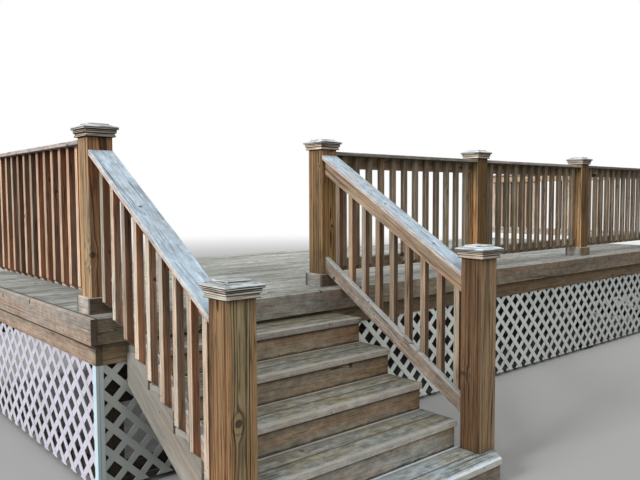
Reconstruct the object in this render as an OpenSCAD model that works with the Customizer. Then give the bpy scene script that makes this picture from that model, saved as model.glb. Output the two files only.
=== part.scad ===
// Raised timber deck with a straight flight of six rises, guard rails and a lattice skirt.
// Millimetres, +Z up, +Y towards the wall behind. The origin is on the ground, in the middle of the outline.

/* [Flight] */
// Height of one step
rise = 162; // [140:1:190]
// Depth from one nosing to the next
run = 262; // [240:1:300]
// Clear width between the newels
walk_w = 1505; // [900:5:2400]
// Gap between a newel and the end of a tread
end_gap = 2; // [1:1:10]
// Depth of the uncut stringer plank
stringer_d = 286; // [260:1:330]
// Thickness of a riser board
riser_t = 19; // [12:1:30]
// Length cut off the front corners of the lowest tread, along the nosing
corner_cut = 85; // [20:1:120]
// How far the lowest newels stand behind the lowest nosing
newel_set = 108; // [60:1:140]

/* [Deck] */
// Depth of the deck from front to back
deck_d = 2800; // [1800:10:4000]
// Distance between the front rail posts
bay = 1790; // [1200:5:2400]
// Number of railed bays beside the flight
bays = 3; // [1:1:6]
// How far the posts stand in from the side edge of the deck
post_in_x = 70; // [50:1:150]
// How far the posts stand in from the front edge of the deck
post_in_y = 150; // [70:1:200]
// How far the wall posts stop short of the back of the deck
wall_gap = 35; // [30:1:100]
// Gap between deck boards
board_gap = 5; // [3:1:10]
// Width of the gap between the two boards of a tread
tread_gap = 3; // [2:1:8]
// Distance between joists
joist_pitch = 406; // [300:1:610]

/* [Timber] */
// Thickness of the planks
plank_t = 38; // [30:1:45]
// Width of the deck, tread, fascia and handrail boards
board_w = 140; // [120:1:160]
// Thickness of the handrail boards
hand_t = 25; // [20:1:38]
// Thickness of the deck boards
deck_t = 25; // [20:1:38]
// Depth of the joists and rims
joist_d = 235; // [184:1:286]
// Width of the rails under the handrail and over the deck
rail_w = 89; // [70:1:110]
// Side of the square posts
post_w = 140; // [130:1:160]
// Side of the square balusters
stick_w = 38; // [32:1:45]

/* [Railing] */
// Height of the level handrail over the deck
guard_h = 945; // [900:1:1100]
// How far the posts stand over the level handrails
post_over = 11; // [2:1:60]
// Height of the left sloping handrail over the nosings
hand_h = 803; // [780:1:920]
// How much higher the head of the right handrail lies
head_lift = 31; // [0:1:40]
// How much higher the foot of the right handrail lies
foot_lift = 56; // [0:1:80]
// Gap between the collars and the lower rails that pass over them
low_over = 2; // [1:1:40]
// How far the balusters stand in from the faces of the posts
stack_in = 32; // [10:1:32]
// Distance between balusters on the flight
stair_pitch = 128; // [100:1:135]
// Distance between balusters on the level
level_pitch = 130; // [100:1:135]
// How much of the outer face of a baluster the bevel at its foot takes
bevel = 34; // [10:1:36]
// How far the lowest newels stand over the sloping handrails
newel_over = 80; // [10:1:120]
// Height of the collar round the foot of a post
collar_h = 89; // [60:1:89]
// Thickness of the collar boards
collar_t = 19; // [12:1:25]

/* [Post caps] */
// How far a cap reaches past its post
cap_over = 27; // [15:1:30]
// Height of the narrow band under a cap
cap_band = 9; // [6:1:20]
// Height of the moulding between the band and the plate
cap_cove = 30; // [26:1:40]
// Thickness of the top plate
cap_plate = 16; // [12:1:30]
// How far the top plate stands out over the moulding
cap_lip = 5; // [2:1:6]
// Height and depth of the grooves along the moulding and the plate
cap_groove = 2; // [1:1:2]
// Rise of the slope round the raised block
cap_slope = 12; // [4:1:30]
// Height of the raised block
cap_block = 6; // [4:1:20]
// Share of the plate's width that the raised block takes
block_share = 0.6; // [0.4:0.05:0.9]

/* [Skirt] */
// Width of a lattice strip
strip_w = 38; // [25:1:50]
// Side of the square openings in the lattice
hole_w = 70; // [40:1:100]
// Thickness of one layer of strips
strip_t = 7; // [5:1:10]
// Depth to which the two layers are fused where they cross
strip_bite = 1; // [1:1:3]
// How far the first crossing at a corner lies under the rim
cross_drop = 134; // [0:1:150]
// Width of the corner trim
trim_w = 42; // [30:1:70]
// Thickness of the corner trim
trim_t = 6; // [4:1:12]
// Gap between the lattice and the ground
skirt_gap = 30; // [10:1:80]

/* [Hidden] */

// Steps below the deck, the last of which is the lowest tread
treads = 5;
deck_z = (treads + 1) * rise;
slope = rise / run;
secant = sqrt(1 + slope * slope);
tread_d = 2 * board_w + tread_gap;
overhang = tread_d - run;

// Plan: the deck is x0 to x1 and y0 to y1, and the flight goes down towards -Y
newel_l = post_in_x;
newel_r = post_in_x + post_w + walk_w;
deck_w = newel_r + bays * bay + post_w + post_in_x;
first_nose = tread_d - plank_t;
flight_d = first_nose + (treads - 1) * run;
x0 = -deck_w / 2;
x1 = deck_w / 2;
y0 = (flight_d - deck_d) / 2;
y1 = y0 + deck_d;

// Each line of posts, by its lowest corner
post_y = y0 + post_in_y;
back_post_y = y1 - wall_gap - post_w;
left_x = x0 + newel_l;
right_x = x0 + newel_r;
post_xs = [for (i = [1:bays]) right_x + i * bay];
last_x = post_xs[bays - 1];
low_newel_y = y0 - flight_d + newel_set;

// The flight between the newels
stair_x0 = left_x + post_w + end_gap;
stair_x1 = right_x - end_gap;

// Heights
fascia_z = deck_z - board_w;
joist_z = deck_z - deck_t - joist_d;
beam_z = joist_z - joist_d;
guard_z = deck_z + guard_h;
post_top = guard_z + post_over;
low_z = deck_z + collar_h + low_over;

// The sloping lines are heights at y. The lower rail just clears the collar at the foot of the upper newel.
// The right handrail lies higher than the left one, by its own amount at each end
function nose_y(k) = y0 - first_nose - (k - 1) * run;
function tread_z(k) = deck_z - k * rise;
function seat_z(k) = tread_z(k) - plank_t;
function riser_back(k) = nose_y(k) + overhang + riser_t;
function nose_line(y) = tread_z(1) + slope * (y - nose_y(1));
function lift(y) = foot_lift + (head_lift - foot_lift) * (y - newel_back) / stair_gap;
function hand_line(y, right) = nose_line(y) + hand_h + (right ? lift(y) : 0);
function low_line(y) = low_z + slope * (y - post_y + collar_t);
function newel_top(right) = hand_line(newel_back, right) + newel_over;
newel_back = low_newel_y + post_w;
stair_gap = post_y - newel_back;
// Height of a sloping board, measured upright
hand_rise = hand_t * secant;
rail_rise = rail_w * secant;

// Skirt: a trim flush with the rims, the lattice behind it and the posts behind that
skin = plank_t + trim_t;
lattice_t = 2 * strip_t - strip_bite;
frame_in = skin + lattice_t;
skirt_h = joist_z - skirt_gap;
panels = 3;
panel_l = (deck_w - 2 * frame_in) / panels;
side_l = deck_d - plank_t - trim_t - skin;
support_xs = concat([x0 + frame_in, right_x], [for (i = [0:bays - 2]) post_xs[i]], [x1 - frame_in - post_w]);
support_ys = [y0 + frame_in, back_post_y - post_w / 2];
beam_t = 2 * plank_t;
nailer_z = 2 * skirt_gap;

module board(x, y, z, dx, dy, dz) translate([x, y, z]) cube([dx, dy, dz]);

// An outline drawn in y and z, thick dx along x from x
module side_slab(x, dx) translate([x, 0, 0]) rotate([90, 0, 90]) linear_extrude(dx) children();

// A sloping board between two upright faces, its upper edge on the line given by its heights at both ends
module sloping(x, dx, z_back, z_front, h) {
    side_slab(x, dx)
        polygon([[newel_back, z_front], [post_y, z_back], [post_y, z_back - h], [newel_back, z_front - h]]);
}

module deck_boards() {
    first = y0 + plank_t + board_gap;
    count = floor((y1 - first) / (board_w + board_gap));
    color("tan")
    for (i = [0:count - 1])
        board(x0 + plank_t + board_gap, first + i * (board_w + board_gap), deck_z - deck_t,
              deck_w - 2 * (plank_t + board_gap), board_w, deck_t);
}

module fascia_front() {
    color("rosybrown") board(x0 + plank_t, y0, fascia_z, deck_w - 2 * plank_t, plank_t, board_w);
}

module fascia_sides() {
    color("rosybrown")
    for (x = [x0, x1 - plank_t]) board(x, y0, fascia_z, plank_t, deck_d, board_w);
}

// The front rim lies between the side rims, the back rim behind them
module rims_long() {
    color("peru") {
        board(x0 + 2 * plank_t, y0 + plank_t, joist_z, deck_w - 4 * plank_t, plank_t, joist_d);
        board(x0 + plank_t, y1 - plank_t, joist_z, deck_w - 2 * plank_t, plank_t, joist_d);
    }
}

module rims_side() {
    color("peru")
    for (x = [x0 + plank_t, x1 - 2 * plank_t])
        board(x, y0 + plank_t, joist_z, plank_t, deck_d - 2 * plank_t, joist_d);
}

module joists() {
    span = deck_w - 4 * plank_t;
    count = floor(span / joist_pitch);
    first = x0 + 2 * plank_t + (span - (count - 1) * joist_pitch - plank_t) / 2;
    color("burlywood")
    for (i = [0:count - 1])
        board(first + i * joist_pitch, y0 + 2 * plank_t, joist_z, plank_t, deck_d - 3 * plank_t, joist_d);
}

module beams() {
    color("burlywood")
    for (y = support_ys)
        board(x0 + frame_in, y + (post_w - beam_t) / 2, beam_z, deck_w - 2 * frame_in, beam_t, joist_d);
}

module support_posts() {
    color("peru")
    for (x = support_xs, y = support_ys) board(x, y, 0, post_w, post_w, beam_z);
}

// A plank notched for every tread, its foot flat on the ground and its head against the front rim
module stringer(x) {
    head = y0 + plank_t;
    notch = rise / secant;
    drop = (stringer_d - notch) * secant;
    function under(y) = seat_z(2) - drop + slope * (y - riser_back(1));
    function next_z(k) = k < treads ? seat_z(k + 1) : 0;
    steps = [for (k = [1:treads]) each [[riser_back(k), seat_z(k)], [riser_back(k), next_z(k)]]];
    toe = riser_back(1) - (seat_z(2) - drop) / slope;
    color("tan") side_slab(x, plank_t)
        polygon(concat([[head, seat_z(1)]], steps, [[toe, 0], [head, under(head)]]));
}

module stringer_left() stringer(stair_x0);
module stringer_middle() stringer((stair_x0 + stair_x1 - plank_t) / 2);
module stringer_right() stringer(stair_x1 - plank_t);

// The lowest riser is as wide as the clipped front of the lowest tread
module risers() {
    low_in = corner_cut - overhang * corner_cut / newel_set + end_gap;
    color("sienna") {
        for (k = [1:treads - 1])
            board(stair_x0, riser_back(k) - riser_t, seat_z(k + 1), stair_x1 - stair_x0, riser_t, rise);
        board(left_x + low_in, riser_back(treads) - riser_t, 0,
              right_x + post_w - left_x - 2 * low_in, riser_t, seat_z(treads));
    }
}

// Short boards on edge that carry the lowest tread under the newels
module step_sides() {
    inset = (post_w - plank_t) / 2;
    color("sienna")
    for (x = [left_x + inset, right_x + inset])
        board(x, riser_back(treads), 0,
              plank_t, nose_y(treads) + tread_d - riser_back(treads), seat_z(treads));
}

// Two boards side by side with a gap between them
module tread(k) {
    color("lightgrey")
    for (y = [nose_y(k), nose_y(k) + board_w + tread_gap])
        board(stair_x0, y, seat_z(k), stair_x1 - stair_x0, board_w, plank_t);
}

module tread_1() tread(1);
module tread_2() tread(2);
module tread_3() tread(3);
module tread_4() tread(4);

// The lowest tread runs out under both newels, and its front corners are cut off
module tread_5() {
    l = left_x;
    r = right_x + post_w;
    f = nose_y(treads);
    color("lightgrey") {
        translate([0, 0, seat_z(treads)]) linear_extrude(plank_t)
            polygon([[l + corner_cut, f], [r - corner_cut, f], [r, f + newel_set], [r, f + board_w],
                     [l, f + board_w], [l, f + newel_set]]);
        board(l, f + board_w + tread_gap, seat_z(treads), r - l, board_w, plank_t);
    }
}

module post(x, y, foot, top) color("peru") board(x, y, foot, post_w, post_w, top - foot);
module newel_top_left() post(left_x, post_y, deck_z, post_top);
module newel_top_right() post(right_x, post_y, deck_z, post_top);
module newel_low_left() post(left_x, low_newel_y, tread_z(treads), newel_top(false));
module newel_low_right() post(right_x, low_newel_y, tread_z(treads), newel_top(true));
module rail_posts() for (x = post_xs) post(x, post_y, deck_z, post_top);
module wall_posts() for (x = [left_x, last_x]) post(x, back_post_y, deck_z, post_top);

// Half of the moulding: a band with a sixth of the overhang, a hollow, a grooved edge, a plate, and a slope
// that rises to a block
module cap_half() {
    band = post_w / 2 + cap_over / 6;
    edge = post_w / 2 + cap_over;
    rim = edge - cap_lip;
    block = edge * block_share;
    z1 = cap_band;
    z2 = z1 + cap_cove;
    z3 = z2 + cap_plate;
    z4 = z3 + cap_slope;
    difference() {
        polygon([[0, 0], [band, 0], [band, z1], [rim, z1], [rim, z2], [edge, z2], [edge, z3],
                 [block, z4], [block, z4 + cap_block], [0, z4 + cap_block]]);
        translate([rim, z1]) circle(r = rim - band - cap_lip / 2, $fn = 48);
        for (i = [1, 2])
            translate([rim - cap_groove, z2 - 2 * i * cap_groove]) square([cap_lip, cap_groove]);
        translate([edge - cap_groove, z3 - 2 * cap_groove]) square([cap_lip, cap_groove]);
    }
}

module cap_bar() {
    rotate([90, 0, 0]) linear_extrude(post_w + 2 * cap_over, center = true) {
        cap_half();
        mirror([1, 0]) cap_half();
    }
}

// The same moulding run along both directions meets in mitres
module post_cap(x, y, z) {
    color("lightgrey") translate([x + post_w / 2, y + post_w / 2, z])
    intersection() {
        cap_bar();
        rotate(90) cap_bar();
    }
}

module post_caps() {
    for (x = concat([left_x, right_x], post_xs)) post_cap(x, post_y, post_top);
    for (x = [left_x, last_x]) post_cap(x, back_post_y, post_top);
    post_cap(left_x, low_newel_y, newel_top(false));
    post_cap(right_x, low_newel_y, newel_top(true));
}

module post_collar(x, y) {
    color("tan") translate([x, y, deck_z]) linear_extrude(collar_h)
    difference() {
        translate([-collar_t, -collar_t]) square(post_w + 2 * collar_t);
        square(post_w);
    }
}

module post_collars() {
    for (x = concat([left_x, right_x], post_xs)) post_collar(x, post_y);
    for (x = [left_x, last_x]) post_collar(x, back_post_y);
}

module handrail(x, right) {
    color("lightgrey") sloping(x, post_w, hand_line(post_y, right), hand_line(newel_back, right), hand_rise);
}
module handrail_left() handrail(left_x, false);
module handrail_right() handrail(right_x, true);

// Rails stand on the walking side and the balusters on the outer side
rail_in = stack_in + stick_w;
left_rail_x = left_x + rail_in;
right_rail_x = right_x + post_w - rail_in - plank_t;

module stair_subrails() {
    color("burlywood")
    for (right = [false, true])
        sloping(right ? right_rail_x : left_rail_x, plank_t,
                hand_line(post_y, right) - hand_rise, hand_line(newel_back, right) - hand_rise, rail_rise);
}

module stair_low_rails() {
    color("burlywood")
    for (x = [left_rail_x, right_rail_x])
        sloping(x, plank_t, low_line(post_y) + rail_rise, low_line(newel_back) + rail_rise, rail_rise);
}

// A baluster at x = 0, y = 0, its outer face towards -X and bevelled at the foot, its head cut to a slope
module baluster(foot, head, fall) {
    intersection() {
        rotate([90, 0, 0]) linear_extrude(stick_w, center = true)
            polygon([[0, foot + bevel], [stick_w, foot], [stick_w, head + stick_w], [0, head + stick_w]]);
        side_slab(0, stick_w)
            polygon([[-stick_w / 2, foot], [stick_w / 2, foot], [stick_w / 2, head + fall / 2],
                     [-stick_w / 2, head - fall / 2]]);
    }
}

stair_sticks = floor((stair_gap - stick_w) / stair_pitch);
stair_first = post_y - (stair_gap - (stair_sticks - 1) * stair_pitch) / 2;

module stair_balusters(right) {
    for (i = [0:stair_sticks - 1]) {
        y = stair_first - i * stair_pitch;
        fall = hand_line(y + stick_w / 2, right) - hand_line(y - stick_w / 2, right);
        translate([0, y, 0])
            baluster(low_line(y - stick_w / 2), hand_line(y, right) - hand_rise, fall);
    }
}

module stair_balusters_left() {
    color("peru") translate([left_rail_x - stick_w, 0, 0]) stair_balusters(false);
}
module stair_balusters_right() {
    outer_x = right_rail_x + plank_t + stick_w;
    color("peru") translate([outer_x, 0, 0]) mirror([1, 0, 0]) stair_balusters(true);
}

// Level boards along every open edge: h high, t deep, set back from the outer faces of the posts
module level_boards(back, t, z, h) {
    side_len = back_post_y - post_y - post_w;
    for (x = concat([right_x], [for (i = [0:bays - 2]) post_xs[i]]))
        board(x + post_w, post_y + back, z, bay - post_w, t, h);
    board(left_x + back, post_y + post_w, z, t, side_len, h);
    board(last_x + post_w - back - t, post_y + post_w, z, t, side_len, h);
}

module level_handrails() color("lightgrey") level_boards(0, post_w, guard_z - hand_t, hand_t);
module level_subrails() {
    color("burlywood") level_boards(rail_in, plank_t, guard_z - hand_t - rail_w, rail_w);
}
module level_low_rails() color("burlywood") level_boards(rail_in, plank_t, low_z, rail_w);

// A row of balusters from y = 0 to y = length with equal gaps between them and at both ends
module level_row(length) {
    spaces = round((length + stick_w) / level_pitch);
    pitch = (length + stick_w) / spaces;
    for (i = [1:spaces - 1])
        translate([0, i * pitch - stick_w / 2, 0]) baluster(low_z, guard_z - hand_t, 0);
}

module front_balusters() {
    color("peru")
    for (x = concat([right_x], [for (i = [0:bays - 2]) post_xs[i]]))
        translate([x + bay, post_y + stack_in, 0]) rotate(90) level_row(bay - post_w);
}

module side_balusters() {
    side_len = back_post_y - post_y - post_w;
    color("peru") {
        translate([left_x + stack_in, post_y + post_w, 0]) level_row(side_len);
        translate([last_x + post_w - stack_in, post_y + post_w, 0]) mirror([1, 0, 0]) level_row(side_len);
    }
}

// Strips of one direction, cut to the outline of the panel. The layers cross on both ends of it, so no corner
// comes loose
module strips(length, turn) {
    step = length / max(1, round(length / (strip_w + hole_w) / sqrt(2)));
    reach = length + skirt_h;
    intersection() {
        square([length, skirt_h]);
        for (i = [-ceil(skirt_h / step):ceil(reach / step)])
            translate([i * step, skirt_h - cross_drop]) rotate(turn * 45)
                square([2 * reach, strip_w], center = true);
    }
}

// Two layers of strips, fused where they cross, standing in the x-z plane with the outer layer towards -Y
module lattice(length) {
    color("white") translate([0, lattice_t, 0]) rotate([90, 0, 0]) {
        linear_extrude(strip_t) strips(length, 1);
        translate([0, 0, strip_t - strip_bite]) linear_extrude(strip_t) strips(length, -1);
    }
}

module lattice_front(i) translate([x0 + frame_in + (i - 1) * panel_l, y0 + skin, skirt_gap]) lattice(panel_l);

module lattice_front_1() lattice_front(1);
module lattice_front_2() lattice_front(2);
module lattice_front_3() lattice_front(3);
module lattice_left() {
    translate([x0 + skin, y0 + skin + side_l, skirt_gap]) rotate(-90) lattice(side_l);
}
module lattice_right() {
    translate([x1 - skin, y0 + skin, skirt_gap]) rotate(90) lattice(side_l);
}

// An angle round each front corner and a flat strip at the back end of each side
module lattice_trim() {
    color("white")
    for (side = [0, 1]) {
        translate([side ? x1 - plank_t : x0 + plank_t, y0 + plank_t, skirt_gap]) mirror([side, 0, 0]) {
            linear_extrude(skirt_h) difference() {
                square(trim_w);
                translate([trim_t, trim_t]) square(trim_w);
            }
            translate([0, deck_d - 2 * plank_t - trim_w, 0]) cube([trim_t, trim_w, skirt_h]);
        }
    }
}

// Boards on edge between the support posts, which the lattice is nailed to near the ground
module skirt_rails() {
    color("burlywood") {
        for (i = [0:len(support_xs) - 2])
            board(support_xs[i] + post_w, support_ys[0], nailer_z,
                  support_xs[i + 1] - support_xs[i] - post_w, plank_t, rail_w);
        for (x = [x0 + frame_in, x1 - frame_in - plank_t])
            board(x, support_ys[0] + post_w, nailer_z,
                  plank_t, support_ys[1] - support_ys[0] - post_w, rail_w);
    }
}

deck_boards();
fascia_front();
fascia_sides();
rims_long();
rims_side();
joists();
beams();
support_posts();
stringer_left();
stringer_middle();
stringer_right();
risers();
step_sides();
tread_1();
tread_2();
tread_3();
tread_4();
tread_5();
newel_top_left();
newel_top_right();
newel_low_left();
newel_low_right();
rail_posts();
wall_posts();
post_caps();
post_collars();
handrail_left();
handrail_right();
stair_subrails();
stair_low_rails();
stair_balusters_left();
stair_balusters_right();
level_handrails();
level_subrails();
level_low_rails();
front_balusters();
side_balusters();
lattice_front_1();
lattice_front_2();
lattice_front_3();
lattice_left();
lattice_right();
lattice_trim();
skirt_rails();
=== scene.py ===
import math
import random

import bmesh
import bpy
from mathutils import Matrix, Vector


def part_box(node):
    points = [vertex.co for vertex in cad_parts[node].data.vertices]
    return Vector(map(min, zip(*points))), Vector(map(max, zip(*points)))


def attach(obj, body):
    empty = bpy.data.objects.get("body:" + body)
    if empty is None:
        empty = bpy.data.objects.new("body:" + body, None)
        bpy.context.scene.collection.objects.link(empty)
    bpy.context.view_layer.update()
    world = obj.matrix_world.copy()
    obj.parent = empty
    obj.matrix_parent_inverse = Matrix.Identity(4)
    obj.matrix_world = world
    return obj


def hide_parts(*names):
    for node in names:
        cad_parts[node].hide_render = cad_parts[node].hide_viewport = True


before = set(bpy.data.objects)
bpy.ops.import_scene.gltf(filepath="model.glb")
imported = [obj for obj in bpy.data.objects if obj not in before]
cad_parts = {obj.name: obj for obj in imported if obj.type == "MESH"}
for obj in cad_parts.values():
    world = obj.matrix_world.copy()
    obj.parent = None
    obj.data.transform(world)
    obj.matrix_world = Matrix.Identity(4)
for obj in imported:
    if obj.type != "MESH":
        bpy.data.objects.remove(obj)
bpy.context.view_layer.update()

# Framing under the deck: support posts, doubled beams on them and joists on those, all sawn softwood.
# The pieces are nailed face to face. Each is made from its solid in the frame, with its arrises eased,
# and every board gets its own grain, written as coordinates along, across and through the board.

# How far arrises are eased, the turn that makes an edge an arris, the turn that leaves a face flat, and how
# squarely a face looks along its board to be an end
EASE = 0.0035
SHARP = math.radians(25)
FLAT = math.radians(1)
END_FACE = 0.8


def islands(bm):
    """Lists the faces of each separate board, in the order of the mesh."""
    for face in bm.faces:
        face.tag = False
    found = []
    for face in bm.faces:
        if face.tag:
            continue
        face.tag = True
        board, edge_of_board = [], [face]
        while edge_of_board:
            here = edge_of_board.pop()
            board.append(here)
            for edge in here.edges:
                for other in edge.link_faces:
                    if not other.tag:
                        other.tag = True
                        edge_of_board.append(other)
        found.append(board)
    return found


def board_axes(board, along=None):
    """The directions along, across and through a board. Its longest edge lies along it."""
    if along is None:
        edges = [edge for face in board for edge in face.edges]
        longest = max(edges, key=lambda edge: round(edge.calc_length(), 4))
        along = (longest.verts[1].co - longest.verts[0].co).normalized()
        if max(along, key=abs) < 0:
            along = -along
    if abs(along.z) > 0.9:
        one, other = Vector((1, 0, 0)), Vector((0, 1, 0))
    else:
        one = along.cross(Vector((0, 0, 1))).normalized()
        other = one.cross(along).normalized()
    corners = [vert.co for face in board for vert in face.verts]
    width = {}
    for axis in (one, other):
        reach = [axis.dot(co) for co in corners]
        width[tuple(axis)] = max(reach) - min(reach)
    if width[tuple(one)] + 1e-4 < width[tuple(other)]:
        one, other = other, one
    return along, one, other


def write_grain(bm, name, pith, along=None, heart=None):
    """Writes what the wood reads: each board's coordinates from the pith and from its own middle, its half
    sizes, its tone and shade, and which faces are its ends. The pith lies beside the board: near and far
    are its distance from the face, side is how far it is off centre. A heart, where it is given, is the
    place of the board's middle in its log instead."""
    grain = bm.verts.layers.float_vector.new("grain")
    within = bm.verts.layers.float_vector.new("within")
    board_look = bm.faces.layers.float_vector.new("board")
    board_half = bm.faces.layers.float_vector.new("half")
    near, far, side = pith
    for count, board in enumerate(islands(bm)):
        chance = random.Random(f"{name}{count}")
        axes = board_axes(board, along)
        corners = [vert.co for face in board for vert in face.verts]
        reach = [(min(a.dot(c) for c in corners), max(a.dot(c) for c in corners)) for a in axes]
        depth = (reach[2][1] - reach[2][0]) / 2 + chance.uniform(near, far)
        start = heart or (chance.uniform(5, 95), chance.uniform(-side, side), chance.choice((-1, 1)) * depth)
        look = (chance.random(), chance.random())
        half = [(high - low) / 2 for low, high in reach]
        for face in board:
            face[board_look] = (*look, 1.0 if abs(face.normal.dot(axes[0])) > END_FACE else 0.0)
            face[board_half] = half
            for vert in face.verts:
                place = [a.dot(vert.co) - sum(r) / 2 for a, r in zip(axes, reach)]
                vert[within] = place
                vert[grain] = [p + s for p, s in zip(place, start)]


def from_node(node, ease=EASE, rounds=2):
    """A mesh with the node's shape: its loose triangles merged, its flat faces whole, its arrises eased."""
    bm = bmesh.new()
    bm.from_mesh(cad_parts[node].data)
    bmesh.ops.remove_doubles(bm, verts=bm.verts, dist=1e-5)
    bmesh.ops.dissolve_limit(bm, angle_limit=FLAT, verts=bm.verts, edges=bm.edges)
    if ease:
        sharp = [
            edge for edge in bm.edges
            if len(edge.link_faces) == 2 and edge.calc_face_angle_signed() > SHARP
        ]
        bmesh.ops.bevel(bm, geom=sharp, offset=ease, offset_type="OFFSET", segments=rounds, profile=0.5,
                        affect="EDGES", material=-1, clamp_overlap=True)
    return bm


def add_object(bm, name, finish):
    """Links a finished mesh to the scene, in its material."""
    mesh = bpy.data.meshes.new(name)
    bm.to_mesh(mesh)
    bm.free()
    mesh.materials.append(finish)
    added = bpy.data.objects.new(name, mesh)
    bpy.context.scene.collection.objects.link(added)
    return added


def add_piece(bm, name, nodes, finish):
    """Adds a mesh as a piece of the deck that stands for its nodes."""
    piece = add_object(bm, name, finish)
    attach(piece, "root")
    if nodes:
        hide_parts(*nodes)


def timber(node, slot, finish, pith=(0.03, 0.1, 0.05), along=None, ease=EASE, rounds=2, heart=None):
    """Builds a node's boards as a piece of wood with its own grain."""
    bm = from_node(node, ease, rounds)
    write_grain(bm, node, pith, along, heart)
    add_piece(bm, node + "_wood", [node], finish)


class Finish:
    """A material, its shader fed by patterns that are put together with short calls."""

    def __init__(self, name):
        self.material = bpy.data.materials.new(name)
        self.material.use_nodes = True
        self.tree = self.material.node_tree
        self.shader = self.tree.nodes["Principled BSDF"]

    def put(self, kind, sockets, **how):
        """Adds a shader node, its sockets fed with values or with what other nodes give."""
        node = self.tree.nodes.new("ShaderNode" + kind)
        for key, value in how.items():
            setattr(node, key, value)
        for key, value in sockets.items():
            self.feed(node.inputs[key], value)
        return node

    def feed(self, socket, value):
        if isinstance(value, bpy.types.NodeSocket):
            self.tree.links.new(value, socket)
        else:
            socket.default_value = value

    def math(self, operation, *values):
        return self.put("Math", dict(enumerate(values)), operation=operation).outputs[0]

    def plus(self, first, second):
        return self.math("ADD", first, second)

    def minus(self, first, second):
        return self.math("SUBTRACT", first, second)

    def over(self, first, second):
        return self.math("DIVIDE", first, second)

    def size(self, value):
        """The value without its sign."""
        return self.math("ABSOLUTE", value)

    def length(self, first, second):
        """How far two steps at a right angle lead."""
        return self.math("SQRT", self.plus(self.times(first, first), self.times(second, second)))

    def times(self, *values):
        """The product of several values."""
        product = values[0]
        for value in values[1:]:
            product = self.math("MULTIPLY", product, value)
        return product

    def ramp(self, value, low, high, start=0.0, end=1.0):
        """Eases a value from start to end as it goes from low to high."""
        return self.put("MapRange", {0: value, 1: low, 2: high, 3: start, 4: end},
                        interpolation_type="SMOOTHSTEP").outputs[0]

    def line(self, value, width):
        """A thin line where a noise passes its middle."""
        return self.ramp(self.size(self.minus(value, 0.5)), width / 4, width, 1.0, 0.0)

    def mix(self, share, first, second, how="MIX"):
        return self.put("Mix", {0: share, 6: first, 7: second}, data_type="RGBA", blend_type=how).outputs[2]

    def tint(self, colour, by):
        """Multiplies a colour by another."""
        return self.mix(1.0, colour, by, "MULTIPLY")

    def shade(self, colour, light):
        """Lightens or darkens a colour by a factor."""
        return self.tint(colour, self.join(light, light, light))

    def stretch(self, vector, scale):
        return self.put("VectorMath", {0: vector, 1: scale}, operation="MULTIPLY").outputs[0]

    def noise(self, vector, detail=2.0, rough=0.5):
        return self.put("TexNoise",
                        {"Vector": vector, "Scale": 1.0, "Detail": detail, "Roughness": rough}).outputs[0]

    def split(self, vector):
        return self.put("SeparateXYZ", {0: vector}).outputs

    def join(self, x, y, z=0.0):
        return self.put("CombineXYZ", {0: x, 1: y, 2: z}).outputs[0]

    def attribute(self, name):
        return self.put("Attribute", {}, attribute_name=name).outputs["Vector"]

    def place(self):
        """Where a point lies on the object."""
        return self.put("TexCoord", {}).outputs["Object"]


# How often each pattern comes in a metre: along, across and through a board
WAVE = (0.7, 5, 5)
RIPPLE = (4, 30, 30)
WOBBLE = (25, 45, 45)
FIBRE = (6, 200, 200)
HAIR = (0.7, 36, 36)
HAIR_PLACE = (2.5, 14, 14)
DASH = (7, 170, 170)
STREAK = (1.0, 55, 55)
STAIN = (1.6, 7, 7)
MOTTLE = (15, 24, 24)
RIB = (0.7, 105, 105)
CRACK = (0.6, 36, 36)
CRACK_PLACE = (1.3, 11, 11)

# Width of a year's ring, space between knots along the board and round the pith, girth of the largest knot,
# and width of the rings in a knot
RING = 0.0055
KNOT_ALONG = 0.5
KNOT_TURN = 1.3
KNOT_REACH = 0.016
KNOT_RING = 0.0022

# Colours of knots and cracks, what late wood and weather do to the colour of a board, and the pale of worn
# arrises with a painted highlight
BLACK_BROWN = (0.020, 0.014, 0.010, 1)
KNOT_PALE = (0.075, 0.045, 0.028, 1)
KNOT_DARK = (0.035, 0.022, 0.014, 1)
END_GRAIN = (0.06, 0.045, 0.035, 1)
WORN_AND_HIGHLIT_EDGE = (0.44, 0.40, 0.33, 1)
LATE = (0.50, 0.38, 0.28, 1)
ORANGE = (1.30, 0.95, 0.66, 1)
OLIVE = (0.88, 0.98, 0.94, 1)
ASHEN = (0.95, 1.02, 1.08, 1)


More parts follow.
